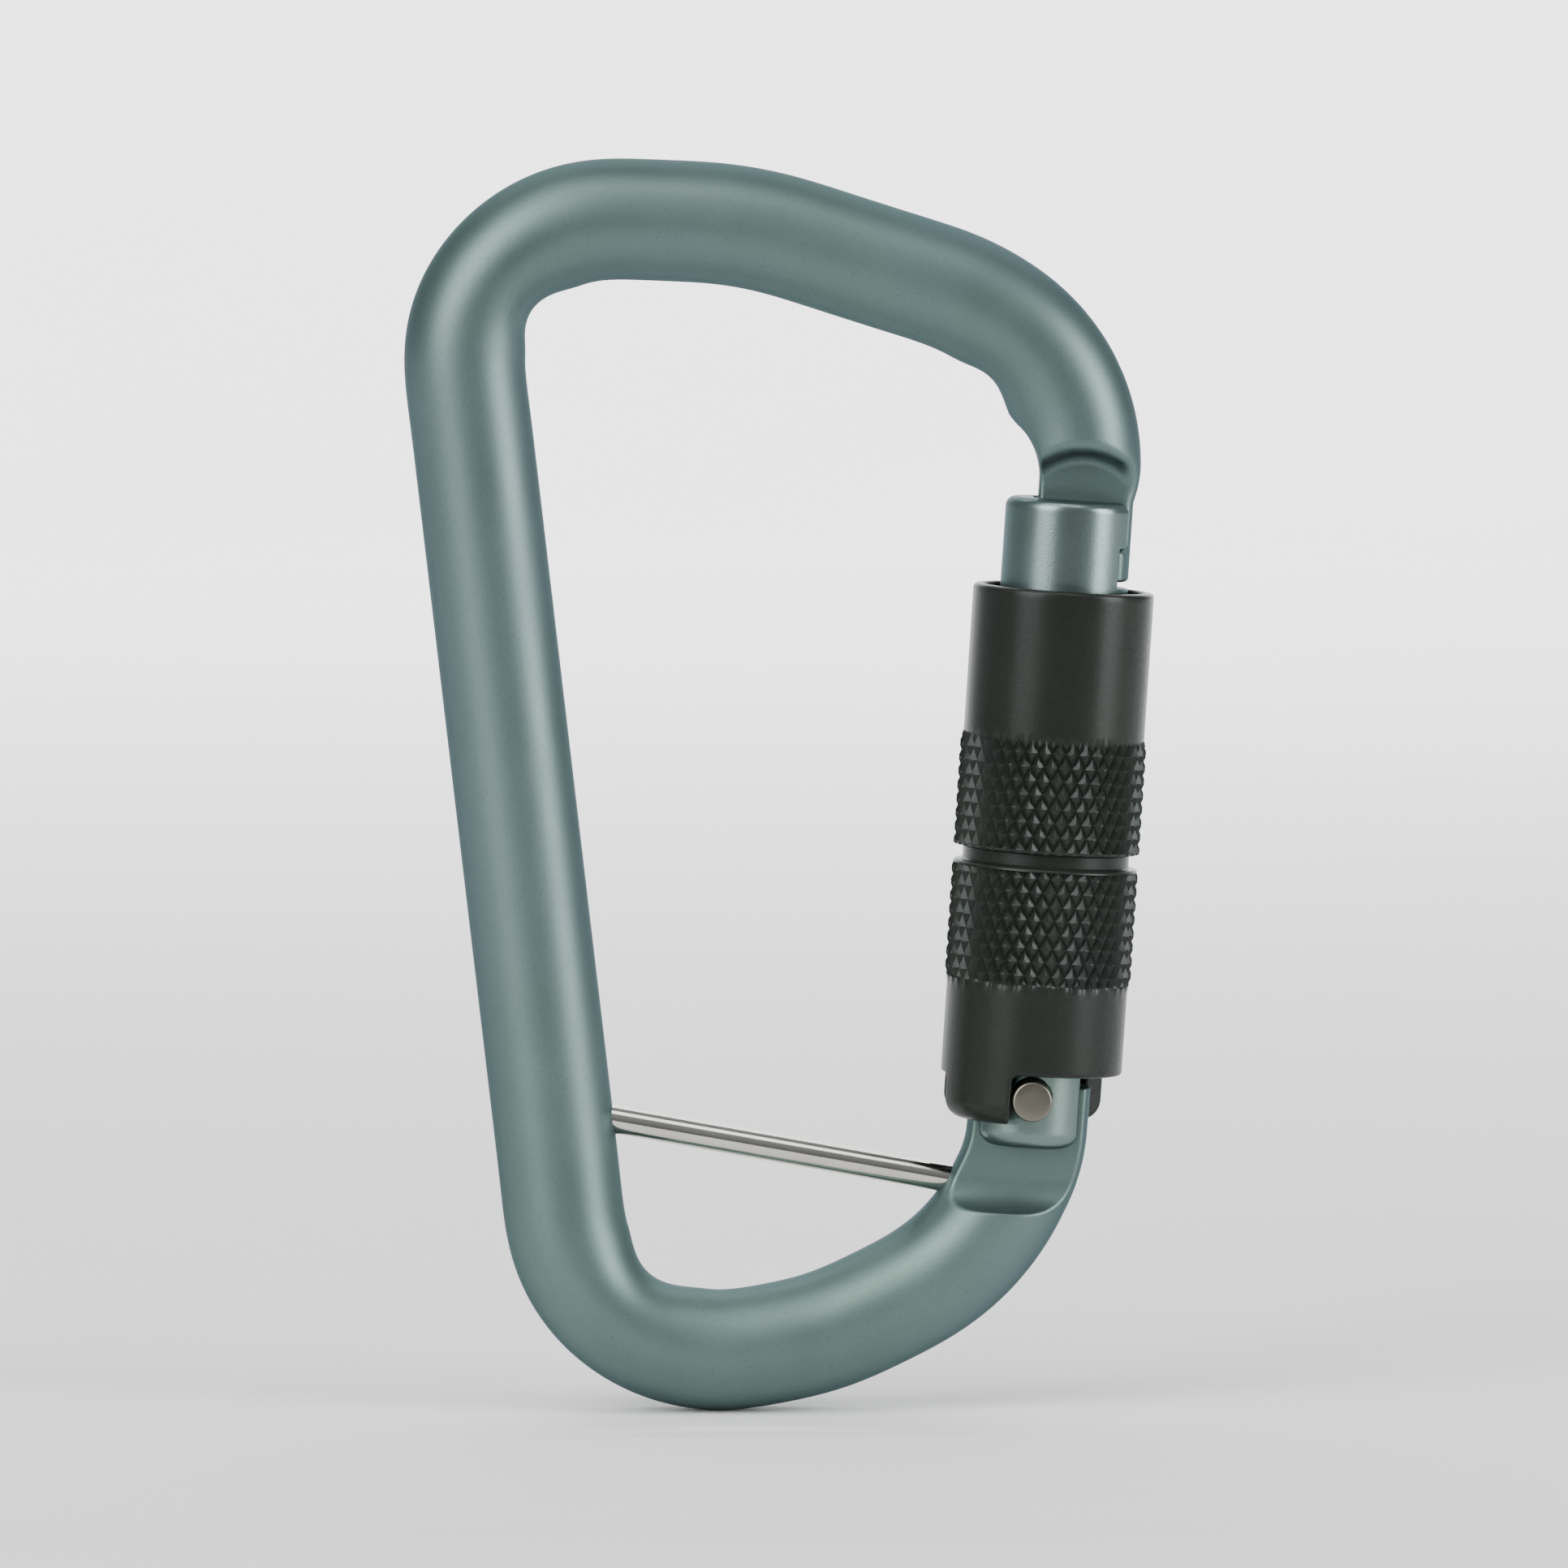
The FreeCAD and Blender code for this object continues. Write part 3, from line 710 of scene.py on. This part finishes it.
def make_gate():
    """The gate with its slot and fork."""
    low = (-GATE_REACH, -GATE_REACH, EAR_BOTTOM - BOX_MARGIN)
    high = (GATE_REACH, GATE_REACH, GATE_HEIGHT + BOX_MARGIN)
    points, faces = surface(gate_solid, low, high, GATE_CELL)
    return finish_mesh("gate_rod", mesh_of(to_row(points), faces))


def knurl(turn, z):
    """Height of the knurled surface at a share of a turn and a height, as a radius."""
    for low, high in KNURL_BANDS:
        if low <= z <= high:
            first = KNURL_COUNT * turn + z / KNURL_HEIGHT
            second = KNURL_COUNT * turn - z / KNURL_HEIGHT
            depth_a = 2 * np.abs(first - np.round(first))
            depth_b = 2 * np.abs(second - np.round(second))
            peak = np.minimum(np.minimum(depth_a, depth_b) * KNURL_SHARPNESS, 1.0)
            outer_end = low if low == KNURL_BANDS[0][0] else high
            fade = min(1.0, abs(z - outer_end) / KNURL_RUNOUT)
            cut = KNURL_ROOT + (KNURL_TIP - KNURL_ROOT) * peak
            return SLEEVE_RADIUS + (cut - SLEEVE_RADIUS) * fade
    return np.full_like(turn, SLEEVE_RADIUS)


def arc_profile(radius, z, out, up, size, steps=5):
    """A rounded convex corner of a profile: points from the flank round to the face."""
    points = []
    for k in range(steps + 1):
        angle = math.pi / 2 * k / steps
        r = radius - out * size + out * size * math.cos(angle)
        points.append((r, z - up * size + up * size * math.sin(angle)))
    return points


def plain_rings(low, high):
    """Profile points of the plain outer surface between two heights."""
    return [(SLEEVE_RADIUS, z) for z in np.arange(low, high, RING_STEP)]


def groove_profile(low, high):
    """Profile of the groove between the two knurled bands, from low to high."""
    tip = KNURL_TIP - BAND_INSET
    foot = GROOVE_RADIUS + GROOVE_CORNER
    profile = arc_profile(tip, low, 1, 1, BAND_ROUND)
    profile += [(foot, low), (GROOVE_RADIUS, low + GROOVE_CORNER)]
    profile += [(GROOVE_RADIUS, high - GROOVE_CORNER), (foot, high)]
    return profile + arc_profile(tip, high, 1, -1, BAND_ROUND)[::-1]


def sleeve_profile():
    """Outer profile above the skirt as (radius or None for knurl, height), then the inside."""
    lower, upper = KNURL_BANDS
    step = KNURL_HEIGHT / KNURL_PARTS
    above_seam = SKIRT_SEAM + SEAM_STEP
    profile = plain_rings(above_seam, lower[0] - LAST_RING_GAP)
    for low, high in KNURL_BANDS:
        heights = np.arange(math.ceil(low / step) * step, high, step)
        inside = [z for z in heights if low + BAND_START < z < high - BAND_ROUND]
        profile += [(None, float(z)) for z in inside]
        if high == lower[1]:
            profile += groove_profile(high, upper[0])
    profile += plain_rings(upper[1] + BAND_INSET, SLEEVE_TOP - RING_STEP)
    profile += arc_profile(SLEEVE_RADIUS, SLEEVE_TOP, 1, 1, RIM_ROUND)
    profile += arc_profile(RIM_BORE, SLEEVE_TOP, -1, 1, RIM_INNER_ROUND)[::-1]
    profile += [(RIM_BORE, SLEEVE_TOP - RIM_STRAIGHT), (RIM_BORE, RIM_FLOOR)]
    profile += [(COIL_BORE, RIM_FLOOR), (COIL_BORE, GUIDE_TOP), (GUIDE_BORE, GUIDE_TOP)]
    profile += [(GUIDE_BORE, GUIDE_BOTTOM), (SKIRT_BORE, GUIDE_BOTTOM)]
    return profile + [(SKIRT_BORE, above_seam)]


def split_in_grooves(bm, rings):
    """Splits the quads of the knurled rings along the diagonal that lies deeper."""
    for (radius, _), low, high in zip(sleeve_profile(), rings, rings[1:]):
        if radius is not None:
            continue
        for k, vert in enumerate(low):
            quad = (vert, low[(k + 1) % len(low)], high[(k + 1) % len(low)], high[k])
            reach = [corner.co.xy.length for corner in quad]
            face = bm.faces.get(quad)
            if reach[0] + reach[2] < reach[1] + reach[3]:
                bmesh.utils.face_split(face, quad[0], quad[2])
            else:
                bmesh.utils.face_split(face, quad[1], quad[3])


def make_sleeve():
    """The locking sleeve: knurled tube with a moulded skirt, closed inside and out."""
    low = (-SLEEVE_REACH, -SLEEVE_REACH, SKIRT_BOTTOM - BOX_MARGIN)
    high = (SLEEVE_REACH, SLEEVE_REACH, SKIRT_SEAM + SEAM_MARGIN)
    points, faces = surface(skirt_solid, low, high, FINE_CELL)
    bm = mesh_of(points, faces)
    trimmed(bm, (0, 0, SKIRT_SEAM), (0, 0, 1))
    loops = open_loops(bm)
    sides = KNURL_COUNT * KNURL_PARTS
    turn = np.arange(sides) / sides
    rings = []
    for radius, z in sleeve_profile():
        r = knurl(turn, z) if radius is None else np.full(sides, radius)
        x, y = r * np.cos(2 * np.pi * turn), r * np.sin(2 * np.pi * turn)
        rings.append(np.stack([x, y, np.full(sides, z)], 1).tolist())
    made = add_rings(bm, rings)
    split_in_grooves(bm, made)
    centre = Vector((0, 0, SKIRT_SEAM))
    loops.sort(key=lambda loop: (loop[0].co - centre).length)
    u, v = Vector((1, 0, 0)), Vector((0, 1, 0))
    zip_loops(bm, loops[-1], made[0], centre, u, v)
    zip_loops(bm, loops[0], made[-1], centre, u, v)
    for vert in bm.verts:
        vert.co = Vector(to_row(np.array(vert.co)))
    sleeve = finish_mesh("twist_sleeve", bm)
    sleeve.data.set_sharp_from_angle(angle=CREASE_ANGLE)
    return sleeve


def turned_rod(name, profile, start, heading, sides):
    """A round piece turned about an axis, from (distance along it, radius) pairs."""
    bm = bmesh.new()
    turn = Vector((0, 0, 1)).rotation_difference(heading).to_matrix()
    rings = []
    for along, radius in profile:
        ring = []
        for k in range(sides):
            angle = 2 * math.pi * k / sides
            local = Vector((radius * math.cos(angle), radius * math.sin(angle), along))
            ring.append(start + turn @ local)
        rings.append(ring)
    made = add_rings(bm, rings)
    bm.faces.new(made[0])
    bm.faces.new(made[-1])
    return finish_mesh(name, bm)


def rounded_end(length, radius, size, steps=4):
    """Profile of a rod whose both edges are rounded."""
    start = []
    for k in range(steps + 1):
        angle = math.pi / 2 * k / steps
        start.append((size - size * math.cos(angle), radius - size + size * math.sin(angle)))
    start.insert(0, (0.0, (radius - size) * CAP_SHARE))
    return start + [(length - along, r) for along, r in reversed(start)]


def make_rivet():
    """The rivet through the ears, with softened edges."""
    start = Vector(to_row(np.array([0.0, RIVET_FRONT, 0.0])))
    profile = rounded_end(RIVET_REAR - RIVET_FRONT, RIVET_RADIUS, RIVET_ROUND)
    return turned_rod("rivet", profile, start, Vector((0, 1, 0)), RIVET_SIDES)


def make_pin():
    """The captive pin, from inside the spine to inside the arm."""
    low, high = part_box("captive_pin")
    slope = math.atan2(high[2] - low[2] - 2 * PIN_RADIUS * MM, high[0] - low[0])
    inset = PIN_RADIUS * MM * math.sin(slope)
    drop = PIN_RADIUS * MM * math.cos(slope)
    start = Vector((low[0] + inset, 0, high[2] - drop)) / MM
    end = Vector((high[0] - inset, 0, low[2] + drop)) / MM
    length = (end - start).length
    profile = rounded_end(length, PIN_RADIUS, PIN_ROUND)
    return turned_rod("keeper_pin", profile, start, (end - start).normalized(), PIN_SIDES)


# ---------------------------------------------------------------- materials


class Nodes:
    """A small helper that adds and wires the nodes of one material."""

    def __init__(self, name):
        self.material = bpy.data.materials.new(name)
        self.material.use_nodes = True
        self.tree = self.material.node_tree
        self.shader = self.tree.nodes["Principled BSDF"]
        self.place = self.add("ShaderNodeTexCoord").outputs["Object"]

    def add(self, kind, **values):
        """A new node with some of its inputs or properties set."""
        node = self.tree.nodes.new(kind)
        for key, value in values.items():
            if key in node.inputs:
                node.inputs[key].default_value = value
            else:
                setattr(node, key, value)
        return node

    def wire(self, source, target):
        """Links an output to an input."""
        self.tree.links.new(source, target)

    def noise(self, scale, detail=2.0, roughness=0.5):
        """Noise in the piece's own coordinates, which are metres."""
        texture = self.add("ShaderNodeTexNoise")
        texture.inputs["Scale"].default_value = scale
        texture.inputs["Detail"].default_value = detail
        texture.inputs["Roughness"].default_value = roughness
        self.wire(self.place, texture.inputs["Vector"])
        return texture.outputs["Fac"]

    def ramp(self, factor, stops):
        """A colour ramp through (position, colour) stops."""
        ramp = self.add("ShaderNodeValToRGB")
        elements = ramp.color_ramp.elements
        while len(elements) < len(stops):
            elements.new(0.5)
        for element, (position, colour) in zip(elements, stops):
            element.position = position
            element.color = (*colour, 1.0)
        self.wire(factor, ramp.inputs["Fac"])
        return ramp.outputs["Color"]

    def span(self, factor, low, high, from_low=0.0, from_high=1.0):
        """A value moved from one range to another, and kept inside it."""
        node = self.add("ShaderNodeMapRange")
        node.inputs["From Min"].default_value = from_low
        node.inputs["From Max"].default_value = from_high
        node.inputs["To Min"].default_value = low
        node.inputs["To Max"].default_value = high
        self.wire(factor, node.inputs["Value"])
        return node.outputs["Result"]

    def mix(self, factor, a, b):
        """Two colours mixed. Either one may be a socket or three numbers."""
        node = self.add("ShaderNodeMix", data_type="RGBA")
        self.wire(factor, node.inputs["Factor"])
        for value, key in ((a, "A"), (b, "B")):
            target = next(s for s in node.inputs if s.name == key and s.type == "RGBA")
            if isinstance(value, tuple):
                target.default_value = (*value, 1.0)
            else:
                self.wire(value, target)
        return next(s for s in node.outputs if s.type == "RGBA")

    def total(self, a, b, share):
        """One value plus a share of another."""
        node = self.add("ShaderNodeMath", operation="MULTIPLY_ADD")
        self.wire(b, node.inputs[0])
        node.inputs[1].default_value = share
        self.wire(a, node.inputs[2])
        return node.outputs[0]

    def bump(self, height, strength, distance):
        """Bumps from a height value."""
        node = self.add("ShaderNodeBump")
        node.inputs["Strength"].default_value = strength
        node.inputs["Distance"].default_value = distance
        self.wire(height, node.inputs["Height"])
        self.wire(node.outputs["Normal"], self.shader.inputs["Normal"])


RIM_TINT = (0.3, 0.34, 0.36, 1.0)
COOL_SHARES = (1.0, 0.9, 1.05)
COOL_MOST = 0.8
COOL_SCALE = 28.0
COOL_RANGE = (0.42, 0.62)
BLOTCH_SCALE = 60.0
BLOTCH_RANGE = (0.3, 0.7)
BLOTCH_ROUGHNESS = 0.035
GRAIN_SCALE = 5200.0
GRAIN_BUMP = 0.28
GRAIN_DEPTH = 0.00003
SPECK_RANGE = (0.58, 0.72)
SPECK_SHADE = 0.72
SPECK_MOST = 0.5
SPECK_ROUGHNESS = 0.06
# Reach and greatest strength of the painted sheen at grazing angles.
SHEEN_BLEND = 0.35
SHEEN_MOST = 0.8


def scaled(colour, shares):
    """A colour with each channel multiplied by its share."""
    return tuple(c * share for c, share in zip(colour, shares))


def anodised(name, light, dark, edge, roughness, metallic):
    """Satin anodised aluminium: fine blasted grain, faint blotches, dark specks and a painted
    sheen that tints grazing surfaces toward the edge colour.
    """
    n = Nodes(name)
    blotch = n.noise(BLOTCH_SCALE, 3.0, 0.55)
    grain = n.noise(GRAIN_SCALE, 2.0, 0.6)
    low, high = BLOTCH_RANGE
    colour = n.ramp(blotch, ((low, dark), (high, light)))
    cool = n.span(n.noise(COOL_SCALE), 0.0, COOL_MOST, *COOL_RANGE)
    colour = n.mix(cool, colour, scaled(light, COOL_SHARES))
    speck = n.span(grain, 0.0, 1.0, *SPECK_RANGE)
    colour = n.mix(n.span(speck, 0.0, SPECK_MOST), colour, scaled(dark, [SPECK_SHADE] * 3))
    # Painted sheen: surfaces turned away from the view take the edge colour, standing in for
    # reflected light.
    slope = n.add("ShaderNodeLayerWeight", Blend=SHEEN_BLEND)
    colour = n.mix(n.span(slope.outputs["Facing"], 0.0, SHEEN_MOST), colour, edge)
    n.wire(colour, n.shader.inputs["Base Color"])
    n.shader.inputs["Metallic"].default_value = metallic
    n.shader.inputs["Specular Tint"].default_value = RIM_TINT
    smooth, rough = roughness - BLOTCH_ROUGHNESS, roughness + BLOTCH_ROUGHNESS
    patchy = n.span(blotch, smooth, rough, low, high)
    n.wire(n.total(patchy, speck, SPECK_ROUGHNESS), n.shader.inputs["Roughness"])
    n.bump(grain, GRAIN_BUMP, GRAIN_DEPTH)
    return n.material


CLOUD_SCALE = 150.0
CLOUD_RANGE = (0.3, 0.7)
CLOUD_SHADE = 0.88
POLISH_SPREAD = 0.3
POLISH_BUMP = 0.12
POLISH_DEPTH = 0.00002


def steel(name, colour, roughness, grain_scale):
    """Bare metal with fine polishing marks."""
    n = Nodes(name)
    lines = n.noise(grain_scale, 3.0, 0.6)
    low, high = CLOUD_RANGE
    stops = ((low, scaled(colour, [CLOUD_SHADE] * 3)), (high, colour))
    n.wire(n.ramp(n.noise(CLOUD_SCALE), stops), n.shader.inputs["Base Color"])
    n.shader.inputs["Metallic"].default_value = 1.0
    smooth, rough = roughness * (1 - POLISH_SPREAD), roughness * (1 + POLISH_SPREAD)
    n.wire(n.span(lines, smooth, rough), n.shader.inputs["Roughness"])
    n.bump(lines, POLISH_BUMP, POLISH_DEPTH)
    return n.material


def paint(piece, material):
    """Gives a piece one material, in every slot that it has."""
    slots = piece.data.materials
    if not slots:
        slots.append(material)
    for index in range(len(slots)):
        slots[index] = material


# ---------------------------------------------------------------- studio


FLOOR_HALF = 3.0
FLOOR_FRONT = -0.35
FLOOR_BACK = 1.6
FLOOR_CURVE = 0.8
FLOOR_HEIGHT = 3.0
FLOOR_STEPS = 24
FLOOR_SHADES = ((0.3, (0.74, 0.74, 0.74)), (0.7, (0.78, 0.78, 0.78)))
FLOOR_ROUGHNESS = 0.9
FLOOR_SCALE = 3.0


def make_floor(lowest):
    """A pale floor that turns up into a backdrop behind the object."""
    line = [(FLOOR_FRONT, 0.0)]
    for k in range(FLOOR_STEPS + 1):
        angle = math.pi / 2 * k / FLOOR_STEPS
        reach = FLOOR_BACK + FLOOR_CURVE * math.sin(angle)
        line.append((reach, FLOOR_CURVE - FLOOR_CURVE * math.cos(angle)))
    line.append((FLOOR_BACK + FLOOR_CURVE, FLOOR_HEIGHT))
    bm = bmesh.new()
    rows = [
        [bm.verts.new(Vector((side, y, lowest + z))) for y, z in line]
        for side in (-FLOOR_HALF, FLOOR_HALF)
    ]
    for k in range(len(line) - 1):
        bm.faces.new((rows[0][k], rows[1][k], rows[1][k + 1], rows[0][k + 1]))
    mesh = bpy.data.meshes.new("floor")
    bm.to_mesh(mesh)
    bm.free()
    floor = link("floor", mesh)
    n = Nodes("pale_floor")
    n.wire(n.ramp(n.noise(FLOOR_SCALE), FLOOR_SHADES), n.shader.inputs["Base Color"])
    n.shader.inputs["Roughness"].default_value = FLOOR_ROUGHNESS
    paint(floor, n.material)


def make_light(name, place, aim, width, height, power):
    """One soft rectangular light aimed at a point."""
    data = bpy.data.lights.new(name, "AREA")
    data.shape = "RECTANGLE"
    data.size = width
    data.size_y = height
    data.energy = power
    light = bpy.data.objects.new(name, data)
    light.location = Vector(place)
    light.rotation_euler = (Vector(aim) - Vector(place)).to_track_quat("-Z", "Y").to_euler()
    bpy.context.scene.collection.objects.link(light)


# Brightness of the surroundings from straight below (0) to straight above (1).
DOME_SHADES = ((0.0, 0.06), (0.45, 0.09), (0.62, 0.26), (1.0, 0.45))
DOME_TINT = (0.94, 0.98, 1.0)


def make_dome():
    """Soft surroundings, brighter above than below."""
    world = bpy.data.worlds.new("studio")
    bpy.context.scene.world = world
    world.use_nodes = True
    tree = world.node_tree
    background = tree.nodes["Background"]
    place = tree.nodes.new("ShaderNodeTexCoord")
    split = tree.nodes.new("ShaderNodeSeparateXYZ")
    ramp = tree.nodes.new("ShaderNodeValToRGB")
    elements = ramp.color_ramp.elements
    while len(elements) < len(DOME_SHADES):
        elements.new(0.5)
    for element, (position, shade) in zip(elements, DOME_SHADES):
        element.position = position
        element.color = (*scaled([shade] * 3, DOME_TINT), 1.0)
    lift = tree.nodes.new("ShaderNodeMapRange")
    lift.inputs["From Min"].default_value = -1.0
    tree.links.new(place.outputs["Generated"], split.inputs["Vector"])
    tree.links.new(split.outputs["Z"], lift.inputs["Value"])
    tree.links.new(lift.outputs["Result"], ramp.inputs["Fac"])
    tree.links.new(ramp.outputs["Color"], background.inputs["Color"])
    background.inputs["Strength"].default_value = 1.0


# Each light: name, place, the point that it faces, width, height and watts. The main light
# is wide and at the front left, the side light is tall and at the right.
CENTRE = (0.01, 0.0, -0.045)
LIGHTS = (
    ("main", (-0.9, -1.0, 0.6), CENTRE, 0.85, 1.3, 30.0),
    ("side", (1.05, -0.45, 0.15), CENTRE, 0.5, 1.0, 20.0),
    ("top", (-0.1, -0.45, 1.1), CENTRE, 1.2, 0.6, 7.0),
    ("backdrop", (0.0, 1.1, 1.4), (0, 2.3, 0.3), 2.2, 0.6, 120.0),
)


def make_studio():
    """The surroundings and the soft lights."""
    make_dome()
    for light in LIGHTS:
        make_light(*light)


CAMERA_DISTANCE = 1.0
CAMERA_ELEVATION = math.radians(4)
CAMERA_AZIMUTH = math.radians(-0.5)
CAMERA_AIM = (0.01287, 0, -0.0454)
FRAME_SPAN = 0.1412
SENSOR_WIDTH = 36.0
CLIP_START = 0.01
CLIP_END = 50.0


def make_camera():
    """A long lens, level with the object and slightly above it."""
    data = bpy.data.cameras.new("camera")
    data.sensor_width = SENSOR_WIDTH
    data.lens = SENSOR_WIDTH * CAMERA_DISTANCE / FRAME_SPAN
    data.clip_start = CLIP_START
    data.clip_end = CLIP_END
    data.dof.use_dof = False
    camera = bpy.data.objects.new("camera", data)
    back = Vector(
        (
            math.sin(CAMERA_AZIMUTH) * math.cos(CAMERA_ELEVATION),
            -math.cos(CAMERA_AZIMUTH) * math.cos(CAMERA_ELEVATION),
            math.sin(CAMERA_ELEVATION),
        )
    )
    camera.location = Vector(CAMERA_AIM) + back * CAMERA_DISTANCE
    camera.rotation_euler = (-back).to_track_quat("-Z", "Y").to_euler()
    bpy.context.scene.collection.objects.link(camera)
    bpy.context.scene.camera = camera


# ---------------------------------------------------------------- build

# The third colour of each material is a painted sheen that grazing surfaces take in place of
# reflected light.
FRAME_LIGHT = (0.116, 0.178, 0.157)
FRAME_DARK = (0.098, 0.146, 0.13)
FRAME_PAINTED_SHEEN = (0.108, 0.146, 0.163)
GATE_LIGHT = (0.15, 0.213, 0.19)
GATE_DARK = (0.128, 0.178, 0.16)
GATE_PAINTED_SHEEN = (0.14, 0.178, 0.196)
BLACK_LIGHT = (0.019, 0.0215, 0.017)
BLACK_DARK = (0.013, 0.015, 0.012)
BLACK_PAINTED_SHEEN = (0.02, 0.023, 0.019)

frame_metal = anodised("frame_anodised", FRAME_LIGHT, FRAME_DARK, FRAME_PAINTED_SHEEN, 0.47, 0.88)
gate_metal = anodised("gate_anodised", GATE_LIGHT, GATE_DARK, GATE_PAINTED_SHEEN, 0.31, 0.88)
black_metal = anodised("black_anodised", BLACK_LIGHT, BLACK_DARK, BLACK_PAINTED_SHEEN, 0.29, 0.3)
pin_steel = steel("polished_steel", (0.6, 0.58, 0.53), 0.14, 900.0)
rivet_steel = steel("rivet_steel", (0.17, 0.16, 0.133), 0.33, 1600.0)
spring_steel = steel("spring_wire", (0.42, 0.42, 0.42), 0.3, 2400.0)
brass = steel("turned_brass", (0.62, 0.47, 0.22), 0.28, 1800.0)

PIECES = (
    (make_frame, "frame", "frame_body", "anodised_aluminium", frame_metal),
    (make_pin, "frame", "captive_pin", "polished_steel", pin_steel),
    (make_gate, "gate", "gate_body", "anodised_aluminium", gate_metal),
    (make_rivet, "gate", "pivot_rivet", "rivet_steel", rivet_steel),
    (make_sleeve, "sleeve", "lock_sleeve", "black_anodised", black_metal),
)

for make, body, node, slot, material in PIECES:
    made = make()
    paint(made, material)
    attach(made, body)
    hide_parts(node)

CARRIED = (
    ("gate_plunger", brass),
    ("gate_spring", spring_steel),
    ("sleeve_spring", spring_steel),
    ("guide_ring", black_metal),
    ("snap_ring", spring_steel),
)

for node, material in CARRIED:
    paint(frame["nodes"][node], material)

make_floor(CAD_LOW[2])
make_studio()
make_camera()
